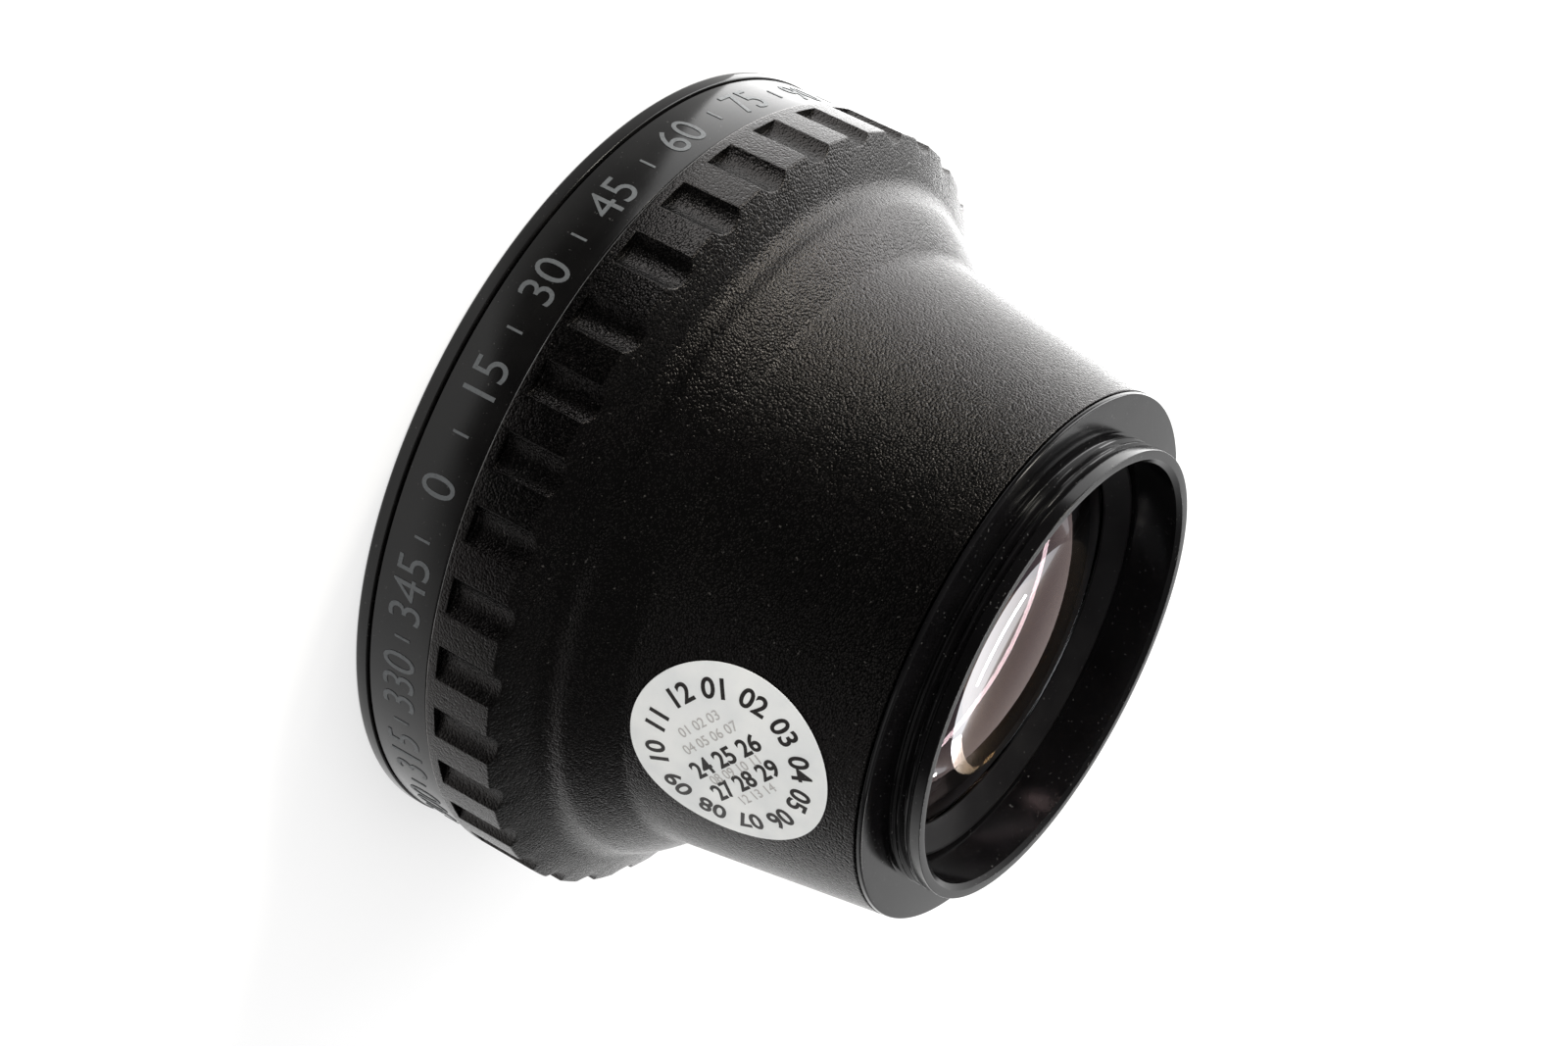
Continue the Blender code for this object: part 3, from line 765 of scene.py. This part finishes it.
@dataclass
class MountRing:
    """Glossy rear ring: flat shoulder, male thread and the pocket for the rear glass."""

    thread_radius: float = 18.50
    thread_depth: float = 0.40
    pitch: float = 0.75
    lead: float = 0.10
    thread_start: float = 38.86
    thread_end: float = 40.30
    groove_wave: tuple = (1.12, 1.45)
    fade: float = 0.22
    rear: float = 41.20
    rear_land: float = 0.14
    shoulder: float = 38.30
    relief: float = 18.15
    flange_radius: float = 21.70
    flange_front_radius: float = 21.76
    flange_front: float = 37.94
    spigot_radius: float = 20.10
    spigot_end: float = 30.65
    ledge_radius: float = 15.40
    ledge_rear: float = 31.45
    pocket_radius: float = 17.00
    pocket_rear: float = 35.30
    bore: float = 17.40
    mouth: float = 17.80
    mouth_depth: float = 0.32
    edge: float = 0.12
    columns: int = 480
    thread_rows: int = 60

    def thread(self, angles: np.ndarray, heights: np.ndarray) -> np.ndarray:
        """Radius of the thread.

        Formula: a sharp wave of the height plus a lead of one pitch a turn, clipped to flat
        crests, times a fade at both ends, taken off the crest's radius.

        Args:
            angles: Angles of the columns.
            heights: Heights of the rows.

        Returns:
            Array (columns, rows) of radii.
        """
        turns = (heights[None, :] - self.lead) / self.pitch - angles[:, None] / (2 * math.pi)
        wave = np.abs(2 * (turns - np.floor(turns)) - 1)
        top, slope = self.groove_wave
        groove = np.clip(top - slope * wave, 0.0, 1.0)
        rise = np.clip((heights - self.thread_start) / self.fade, 0.0, 1.0)
        fall = np.clip((self.thread_end - heights) / self.fade, 0.0, 1.0)
        return self.thread_radius - self.thread_depth * groove * rise * fall

    def build(self, shop: Workshop) -> None:
        """Makes the ring with one outline for each column, because the thread is a helix."""
        angles = even_angles(self.columns)
        heights = np.linspace(self.rear - self.rear_land, self.shoulder + 0.50, self.thread_rows)
        threaded = np.stack([self.thread(angles, heights),
                             np.broadcast_to(heights, (self.columns, self.thread_rows))], axis=-1)
        front = rounded([(self.bore, self.rear - self.mouth_depth), (self.mouth, self.rear),
                         (self.thread_radius, self.rear), (self.thread_radius, self.rear - self.rear_land)],
                        [0.08, 0.05, 0.10, 0.0], 5, closed=False)
        back = rounded([
            (self.thread_radius, self.shoulder + 0.475), (self.relief, self.shoulder + 0.30),
            (self.relief, self.shoulder + 0.10), (self.thread_radius + 0.10, self.shoulder),
            (self.flange_radius, self.shoulder), (self.flange_front_radius, self.flange_front),
            (self.spigot_radius, self.flange_front), (self.spigot_radius, self.spigot_end),
            (self.ledge_radius, self.spigot_end), (self.ledge_radius, self.ledge_rear),
            (self.pocket_radius, self.ledge_rear), (self.pocket_radius, self.pocket_rear),
            (self.bore, self.pocket_rear)],
            [0.03, 0.06, 0.06, 0.03, self.edge, 0.06, 0.0, 0.15, 0.1, 0.1, 0.0, 0.05, 0.0], 5,
            closed=False)
        steady = [np.broadcast_to(part, (self.columns, *part.shape)) for part in (front, back)]
        outline = np.concatenate([steady[0], threaded, steady[1]], axis=1)
        shop.show(turned_piece("threaded_mount", outline, angles), GLOSS, "mount_ring")


@dataclass
class RearGroup:
    """Cemented rear glass, the slotted ring that holds it, the stop and the stepped tube."""

    glass_radius: float = 16.70
    clear_radius: float = 15.60
    crown_apex: float = 38.47
    crown_rim: float = 35.30
    crown_curve: float = 40.0
    flint_apex: float = 28.96
    flint_rim: float = 31.75
    flint_curve: float = 45.0
    ring_front: float = 35.60
    ring_height: float = 1.50
    ring_outer: float = 17.10
    ring_inner: float = 15.30
    ring_lip: float = 0.15
    ring_land: float = 0.25
    slot_width: float = 1.20
    slot_depth: float = 0.80
    slot_angle: float = -80.0
    stop_front: float = 29.95
    stop_rear: float = 30.35
    stop_radius: float = 14.80
    spigot_radius: float = 20.10
    tube_front: float = 10.82
    tube_taper: float = 13.02
    tube_rear: float = 29.65
    tube_front_outer: float = 22.30
    tube_front_inner: float = 21.30
    tube_rear_inner: float = 16.20
    tube_steps: int = 5
    columns: int = 240

    def doublet(self) -> bpy.types.Object:
        """Both cemented glasses as one body, because light passes the cement without a bend."""
        rear = dome(self.crown_curve, self.clear_radius, self.crown_apex, 40, -1.0)
        front = dome(self.flint_curve, self.clear_radius, self.flint_apex, 24)
        edge = rounded([rear[-1], (self.glass_radius, self.crown_rim),
                        (self.glass_radius, self.flint_rim), front[-1]],
                       [0, 0.12, 0.12, 0], 4, closed=False)
        outline = np.concatenate([rear, edge, front[::-1]])
        return turned_piece("rear_doublet", outline, even_angles(self.columns), ring=False)

    def ring(self) -> bpy.types.Object:
        """Retaining ring: each column's rear face is cut down where a spanner slot crosses it."""
        half = math.asin(self.slot_width / 2 / self.ring_outer)
        middle = math.radians(self.slot_angle)
        near = middle + half * np.array([-1.012, -1.0, -0.5, 0.0, 0.5, 1.0, 1.012])
        spread = np.linspace(middle + 1.3 * half, middle + math.pi - 1.3 * half, 120)
        angles = np.concatenate([near, spread, near + math.pi, spread + math.pi])
        inside = np.abs(np.sin(angles - middle)) <= math.sin(half) * 1.001
        top = np.where(inside, self.ring_height - self.slot_depth, self.ring_height)
        run = (self.ring_outer - self.ring_land - self.ring_inner) / (self.ring_height - self.ring_lip)
        face = self.ring_inner + (top - self.ring_lip) * run
        sides = ((self.ring_outer, top), (self.ring_outer, 0.0), (self.ring_inner, 0.0),
                 (self.ring_inner, self.ring_lip), (face, top))
        corners = np.stack([np.stack(np.broadcast_arrays(radius, level, top)[:2], axis=-1)
                            for radius, level in sides], axis=1)
        corners[..., 1] += self.ring_front
        return turned_piece("glass_retainer", rounded(corners, [0.05, 0.05, 0.03, 0.03, 0.05], 4), angles)

    def tube(self) -> bpy.types.Object:
        """Tapered light trap with square steps inside."""
        share = np.arange(self.tube_steps) / (self.tube_steps - 1)
        radii = self.tube_front_inner + (self.tube_rear_inner - self.tube_front_inner) * share
        levels = np.linspace(self.tube_front, self.tube_rear, self.tube_steps + 1)
        steps = np.stack([np.repeat(radii, 2), np.repeat(levels, 2)[1:-1]], axis=-1)
        outside = [(self.spigot_radius, self.tube_rear), (self.tube_front_outer, self.tube_taper),
                   (self.tube_front_outer, self.tube_front)]
        corners = np.concatenate([outside, steps])
        outline = rounded(corners, [0.06] * len(corners), 3)
        return turned_piece("light_trap", outline, even_angles(self.columns))

    def stop(self) -> bpy.types.Object:
        """Thin stop with a bevelled opening."""
        corners = [(self.spigot_radius, self.stop_rear), (self.spigot_radius, self.stop_front),
                   (self.stop_radius + 0.25, self.stop_front), (self.stop_radius, self.stop_rear - 0.08),
                   (self.stop_radius, self.stop_rear)]
        outline = rounded(corners, [0.05, 0.05, 0.03, 0.02, 0.02], 3)
        return turned_piece("stop_ring", outline, even_angles(self.columns))

    def build(self, shop: Workshop) -> None:
        """Makes the rear group from the glass inwards."""
        shop.show(self.doublet(), GLASS, "crown_glass", "flint_glass")
        shop.show(self.ring(), RING_GREY, "rear_retaining_ring")
        shop.show(self.stop(), MATT, "field_stop")
        shop.show(self.tube(), MATT, "baffle_tube")


@dataclass
class FrontGlass:
    """Large meniscus: a shallow dome in front and a deep hollow behind."""

    radius: float = 29.20
    clear_front: float = 27.30
    clear_back: float = 21.50
    apex: float = 1.20
    front_curve: float = 95.0
    hollow_apex: float = 3.80
    back_curve: float = 42.0
    columns: int = 300

    def build(self, shop: Workshop) -> None:
        """Makes the glass from its hollow round the edge to its dome."""
        hollow = dome(self.back_curve, self.clear_back, self.hollow_apex, 36)
        front = dome(self.front_curve, self.clear_front, self.apex, 36)
        edge = rounded([hollow[-1], (self.radius, hollow[-1, 1]), (self.radius, front[-1, 1]), front[-1]],
                       [0, 0.15, 0.15, 0], 4, closed=False)
        outline = np.concatenate([hollow, edge, front[::-1]])
        piece = turned_piece("front_meniscus", outline, even_angles(self.columns), ring=False)
        shop.show(piece, GLASS, "front_element")


@dataclass(frozen=True)
class ConeSkin:
    """Flat drawing laid on a cone or a cylinder round the axis."""

    radius: float
    height: float
    angle: float
    tilt: float = 0.0

    def lay(self, flat: np.ndarray) -> np.ndarray:
        """Bends flat points onto the skin.

        Formula: angle = own angle + across / radius; distance = radius - along times the tilt's
        sine + lift times its cosine; height = own height + along times its cosine + lift times its sine.

        Args:
            flat: Array (..., 3) of across, along and lift in millimetres.

        Returns:
            Array (..., 3) of points in millimetres.
        """
        across, along, lift = np.moveaxis(flat, -1, 0)
        sine, cosine = math.sin(self.tilt), math.cos(self.tilt)
        return polar(self.radius - along * sine + lift * cosine,
                     math.radians(self.angle) + across / self.radius,
                     self.height + along * cosine + lift * sine)


@dataclass(frozen=True)
class Label:
    """One printed number: its text, its letter size, and its place and turn on the skin."""

    text: str
    size: float
    across: float = 0.0
    along: float = 0.0
    turn: float = 0.0
    depth: float = 0.09
    weight: float = 0.0
    narrow: float = 1.0

    def mesh(self, skin: ConeSkin) -> bpy.types.Mesh:
        """Thin solid of the text, bent onto a skin.

        Args:
            skin: Surface that carries the print.

        Returns:
            The mesh in metres.
        """
        curve = bpy.data.curves.new("print", "FONT")
        curve.body, curve.size = self.text, self.size
        curve.extrude, curve.offset = self.depth / 2, self.weight
        curve.align_x, curve.align_y, curve.resolution_u = "CENTER", "CENTER", LETTER_STEPS
        holder = bpy.data.objects.new("print", curve)
        flat = bpy.data.meshes.new_from_object(holder)
        bpy.data.objects.remove(holder)
        bpy.data.curves.remove(curve)
        points = np.empty(len(flat.vertices) * 3, dtype=np.float32)
        flat.vertices.foreach_get("co", points)
        points = points.reshape(-1, 3).astype(float)
        points[:, 0] *= self.narrow
        sine, cosine = math.sin(math.radians(self.turn)), math.cos(math.radians(self.turn))
        turned = np.stack([self.across + points[:, 0] * cosine - points[:, 1] * sine,
                           self.along + points[:, 0] * sine + points[:, 1] * cosine,
                           points[:, 2]], axis=-1)
        flat.vertices.foreach_set("co", (skin.lay(turned) * MM).astype(np.float32).ravel())
        flat.materials.clear()
        return flat


def printed_piece(name: str, labels: list[Label], skin: ConeSkin) -> bpy.types.Object:
    """Joins all labels of one print into one piece.

    Args:
        name: Name of the piece.
        labels: The labels.
        skin: Surface that carries them.

    Returns:
        The piece.
    """
    shell = bmesh.new()
    for label in labels:
        flat = label.mesh(skin)
        shell.from_mesh(flat)
        bpy.data.meshes.remove(flat)
    mesh = bpy.data.meshes.new(name)
    shell.to_mesh(mesh)
    shell.free()
    return tidy_mesh(name, mesh)


@dataclass
class BandScale:
    """Degree scale printed round the plain band, its numbers' tops towards the front rim."""

    radius: float = 31.62
    middle: float = 4.20
    step: int = 15
    letter: float = 4.15
    letter_width: float = 0.92
    letter_weight: float = -0.015
    mark: float = 2.0
    first_angle: float = 15.0

    def build(self, shop: Workshop) -> None:
        """Prints a number every step, and a short stroke half way to the next."""
        skin = ConeSkin(self.radius, self.middle, 0.0)
        reach = math.radians(self.step) * self.radius
        start = math.radians(self.first_angle) * self.radius
        count = 360 // self.step
        labels = [Label(str(self.step * index), self.letter, start - reach * index, turn=180.0,
                        weight=self.letter_weight, narrow=self.letter_width) for index in range(count)]
        labels += [Label("I", self.mark, start - reach * (index + 0.5), turn=180.0)
                   for index in range(count)]
        shop.show(printed_piece("band_numbers", labels, skin), BAND_PRINT)


@dataclass
class PaperSeal:
    """Round label on the cone: numbers 1 to 12 round its edge and two rows of numbers across it."""

    diameter: float = 15.80
    height: float = 27.70
    angle: float = 43.5
    lift: float = 0.10
    thickness: float = 0.10
    print_turn: float = 139.0
    print_depth: float = 0.06
    ring_reach: float = 5.80
    ring_letter: float = 2.25
    ring_weight: float = 0.046
    row_letter: float = 2.0
    row_weight: float = 0.044
    small_letter: float = 1.15
    columns: int = 128

    def skin(self, lift: float) -> ConeSkin:
        """The barrel's cone at the seal's height, with its radius grown by a lift."""
        (front, start), (rear, end) = Barrel.crease, Barrel.cone_rear
        taper = (front - rear) / (end - start)
        radius = front - (self.height - start) * taper
        return ConeSkin(radius + lift, self.height, self.angle, math.atan(taper))

    def disc(self) -> bpy.types.Object:
        """Closed disc: under face, rounded edge and upper face, from pole to pole."""
        edge = self.diameter / 2
        outline = np.concatenate([
            np.stack([np.linspace(0.0, edge - 0.05, 14), np.zeros(14)], axis=-1),
            quadratic_bend((edge - 0.03, 0.0), (edge, 0.0), (edge, self.thickness / 2), 3),
            quadratic_bend((edge, self.thickness / 2), (edge, self.thickness),
                           (edge - 0.04, self.thickness), 4),
            np.stack([np.linspace(edge - 0.08, 0.0, 14), np.full(14, self.thickness)], axis=-1)])
        turn = even_angles(self.columns)[:, None]
        flat = np.stack(np.broadcast_arrays(outline[:, 0] * np.cos(turn), outline[:, 0] * np.sin(turn),
                                            outline[:, 1]), axis=-1)
        return grid_piece("paper_seal", self.skin(self.lift).lay(flat), ring=False)

    def turned_label(self, text: str, size: float, right: float, up: float, weight: float,
                     extra: float = 0.0) -> Label:
        """Label at a place measured along and across the lines of print.

        Args:
            text: The text.
            size: Letter size.
            right: Distance along the line of print.
            up: Distance across it.
            weight: Extra thickness of the strokes.
            extra: Further turn of this label.

        Returns:
            The label.
        """
        turn = math.radians(self.print_turn)
        return Label(text, size, right * math.cos(turn) - up * math.sin(turn),
                     right * math.sin(turn) + up * math.cos(turn), self.print_turn + extra,
                     depth=self.print_depth, weight=weight)

    def build(self, shop: Workshop) -> None:
        """Makes the disc and its dark and pale prints."""
        shop.show(self.disc(), PAPER, "seal_sticker")
        skin = self.skin(self.lift + self.thickness)
        around = [math.radians(90 - 30 * number) for number in range(1, 13)]
        dark = [self.turned_label("%02d" % number, self.ring_letter, self.ring_reach * math.cos(place),
                                  self.ring_reach * math.sin(place), self.ring_weight,
                                  math.degrees(place) - 90)
                for number, place in enumerate(around, 1)]
        dark += [self.turned_label(text, self.row_letter, 0.0, up, self.row_weight)
                 for text, up in (("24 25 26", 0.25), ("27 28 29", -2.05))]
        pale = [self.turned_label(text, self.small_letter, 0.0, up, 0.0)
                for text, up in (("01 02 03", 3.35), ("04 05 06 07", 2.05), ("08 09 10 11", -0.95),
                                 ("12 13 14", -3.35))]
        shop.show(printed_piece("seal_numbers", dark, skin), SEAL_PRINT)
        shop.show(printed_piece("seal_small_numbers", pale, skin), GHOST_PRINT)


# Table, light and camera


@dataclass(frozen=True)
class Softbox:
    """Flat lamp with an even face, given by the brightness of that face."""

    name: str
    place: tuple
    width: float
    length: float
    brightness: float
    colour: tuple = (1.0, 1.0, 1.0)
    aim: tuple = (0.0, 0.0, 0.02)

    def build(self) -> None:
        """Adds the lamp. Its power is brightness times pi times the face's area."""
        data = bpy.data.lights.new(self.name, "AREA")
        data.shape, data.size, data.size_y, data.color = "RECTANGLE", self.width, self.length, self.colour
        data.energy = self.brightness * math.pi * self.width * self.length
        lamp = bpy.data.objects.new(self.name, data)
        lamp.location = self.place
        heading = Vector(self.aim) - Vector(self.place)
        lamp.rotation_euler = heading.to_track_quat("-Z", "Y").to_euler()
        bpy.context.collection.objects.link(lamp)


@dataclass(frozen=True)
class Dimming:
    """How white surroundings dim away from their bright side, seen from a middle."""

    bright_side: tuple
    low: float
    high: float
    dim: float
    middle: tuple = (0.0, 0.0, 0.0)


@dataclass
class Studio:
    """White table, pale surroundings, soft lamps and the camera."""

    table_size: float = 4.0
    table_colour: float = 0.40
    table_glow: tuple = (0.58, 1.0)
    glow_reach: tuple = (0.08, 0.30)
    mirror_glow: float = 0.90
    ambient: tuple = (0.16, 1.44)
    lit_side: tuple = (-0.72, -0.36, 0.60)
    table_view: Dimming = Dimming((0.25, 0.97, 0.0), 0.10, 0.60, 0.03, (0.0, -0.040, 0.0))
    room_view: Dimming = Dimming((-0.50, 0.72, -0.48), -0.20, 0.55, 0.17)
    lens: float = 82.41
    sensor: float = 36.0
    camera_place: tuple = (0.0, -0.254504, 0.125695)
    camera_right: tuple = (-0.459398, 0.350987, 0.815942)
    camera_up: tuple = (-0.888225, -0.184642, -0.420670)
    camera_back: tuple = (0.003008, -0.917996, 0.396579)
    lamps: tuple = (
        Softbox("key_softbox", (-0.405, 0.165, 0.14), 0.40, 0.26, 6.0),
        Softbox("warm_card", (-0.37, -0.17, 0.16), 0.06, 0.06, 34.0, (1.0, 0.96, 0.86)),
        Softbox("high_card", (-0.34, -0.07, 0.27), 0.06, 0.08, 50.0, (1.0, 0.96, 0.86)),
        Softbox("low_panel", (-0.1143, 0.0625, 0.0004), 0.170, 0.195, 3.1, aim=(-0.1143, 0.0625, 1.0)),
        Softbox("grip_strip", (-0.0505, -0.0430, 0.0004), 0.042, 0.017, 6.0, aim=(-0.0505, -0.0430, 1.0)),
        Softbox("rear_card", (0.02, 0.43, 0.30), 0.32, 0.018, 11.0, aim=(0.0, 0.0, 0.038)),
        Softbox("side_card", (0.30, -0.22, 0.05), 0.30, 0.10, 0.8),
    )

    def seen(self, kit: NodeKit, toward: bpy.types.NodeSocket, view: Dimming) -> bpy.types.NodeSocket:
        """How much of the white surroundings a ray sees.

        Formula: 1 for a camera ray, else, for a glossy or transmission ray, the cosine between the
        looked-at direction and the bright side, moved from the view's range onto dim to 1.

        Args:
            kit: Node tree of the table or of the world.
            toward: Direction, or place on the table, that the ray looks at.
            view: How the surroundings dim.

        Returns:
            Socket with the share, 0 for all other rays.
        """
        path = kit.add("ShaderNodeLightPath", {}).outputs
        unit = kit.vector("NORMALIZE", kit.vector("SUBTRACT", toward, view.middle))
        facing = kit.vector("DOT_PRODUCT", unit, view.bright_side)
        room = kit.remap(facing, view.low, view.high, view.dim, 1.0)
        mirrored = kit.maths("MAXIMUM", path["Is Glossy Ray"], path["Is Transmission Ray"])
        return kit.maths("MAXIMUM", path["Is Camera Ray"], kit.maths("MULTIPLY", mirrored, room))

    def table(self) -> None:
        """Flat table: a pale diffuse face that takes the shadow, plus a glow that only looks see."""
        half = self.table_size / 2
        points = np.array([(-half, -half, 0), (half, -half, 0), (half, half, 0), (-half, half, 0)])
        mesh = bpy.data.meshes.new("table")
        mesh.from_pydata(points.tolist(), [], [(0, 1, 2, 3)])
        top = bpy.data.objects.new("table", mesh)
        bpy.context.collection.objects.link(top)
        material = bpy.data.materials.new("white_table")
        material.use_nodes = True
        kit = NodeKit(material.node_tree)
        kit.nodes.clear()
        place = kit.add("ShaderNodeTexCoord", {}).outputs["Object"]
        path = kit.add("ShaderNodeLightPath", {}).outputs
        share = self.seen(kit, place, self.table_view)
        pale = kit.maths("MULTIPLY", kit.maths("MAXIMUM", share, path["Is Diffuse Ray"]), self.table_colour)
        around = kit.remap(kit.vector("LENGTH", place), *self.glow_reach, *self.table_glow)
        level = kit.remap(path["Is Camera Ray"], 0.0, 1.0, self.mirror_glow, around)
        glow = kit.maths("MULTIPLY", share, level)
        both = kit.add("ShaderNodeAddShader", {
            0: kit.add("ShaderNodeBsdfDiffuse", {"Color": pale}).outputs[0],
            1: kit.add("ShaderNodeEmission", {"Strength": glow}).outputs[0]})
        kit.add("ShaderNodeOutputMaterial", {"Surface": both.outputs[0]})
        mesh.materials.append(material)

    def surroundings(self) -> None:
        """White to the eye, and for matt surfaces a soft light that is stronger from the lit side."""
        world = bpy.data.worlds.new("surroundings")
        world.use_nodes = True
        bpy.context.scene.world = world
        kit = NodeKit(world.node_tree)
        direction = kit.add("ShaderNodeTexCoord", {}).outputs["Generated"]
        path = kit.add("ShaderNodeLightPath", {}).outputs
        level = kit.remap(kit.vector("DOT_PRODUCT", direction, self.lit_side), -1.0, 1.0, *self.ambient)
        lit = kit.maths("MULTIPLY", path["Is Diffuse Ray"], level)
        sky = kit.nodes["Background"]
        sky.inputs["Color"].default_value = (1.0, 1.0, 1.0, 1.0)
        strength = kit.maths("MAXIMUM", self.seen(kit, direction, self.room_view), lit)
        kit.feed(sky.inputs["Strength"], strength)

    def camera(self) -> None:
        """Camera at the place and turn of the picture that the lens was measured from."""
        data = bpy.data.cameras.new("camera")
        data.lens, data.sensor_width, data.sensor_fit = self.lens, self.sensor, "HORIZONTAL"
        data.clip_start, data.clip_end = 0.01, 20.0
        obj = bpy.data.objects.new("camera", data)
        axes = Matrix((self.camera_right, self.camera_up, self.camera_back)).transposed()
        obj.matrix_world = Matrix.Translation(self.camera_place) @ axes.to_4x4()
        bpy.context.collection.objects.link(obj)
        bpy.context.scene.camera = obj

    def build(self) -> None:
        """Sets the table, the surroundings, the lamps and the camera."""
        self.table()
        self.surroundings()
        for lamp in self.lamps:
            lamp.build()
        self.camera()
        bpy.context.scene.view_settings.view_transform = "Standard"


def main() -> None:
    """Builds the sub-assemblies from the front rim to the rear, then the studio."""
    logging.basicConfig(level=logging.INFO, format="%(name)s %(message)s")
    shop = Workshop()
    for part in (FrontRings(), FrontGlass(), Barrel(), RearGroup(), MountRing(), BandScale(), PaperSeal()):
        log.info("building %s", type(part).__name__)
        part.build(shop)
    Studio().build()


if __name__ == "__main__":
    main()
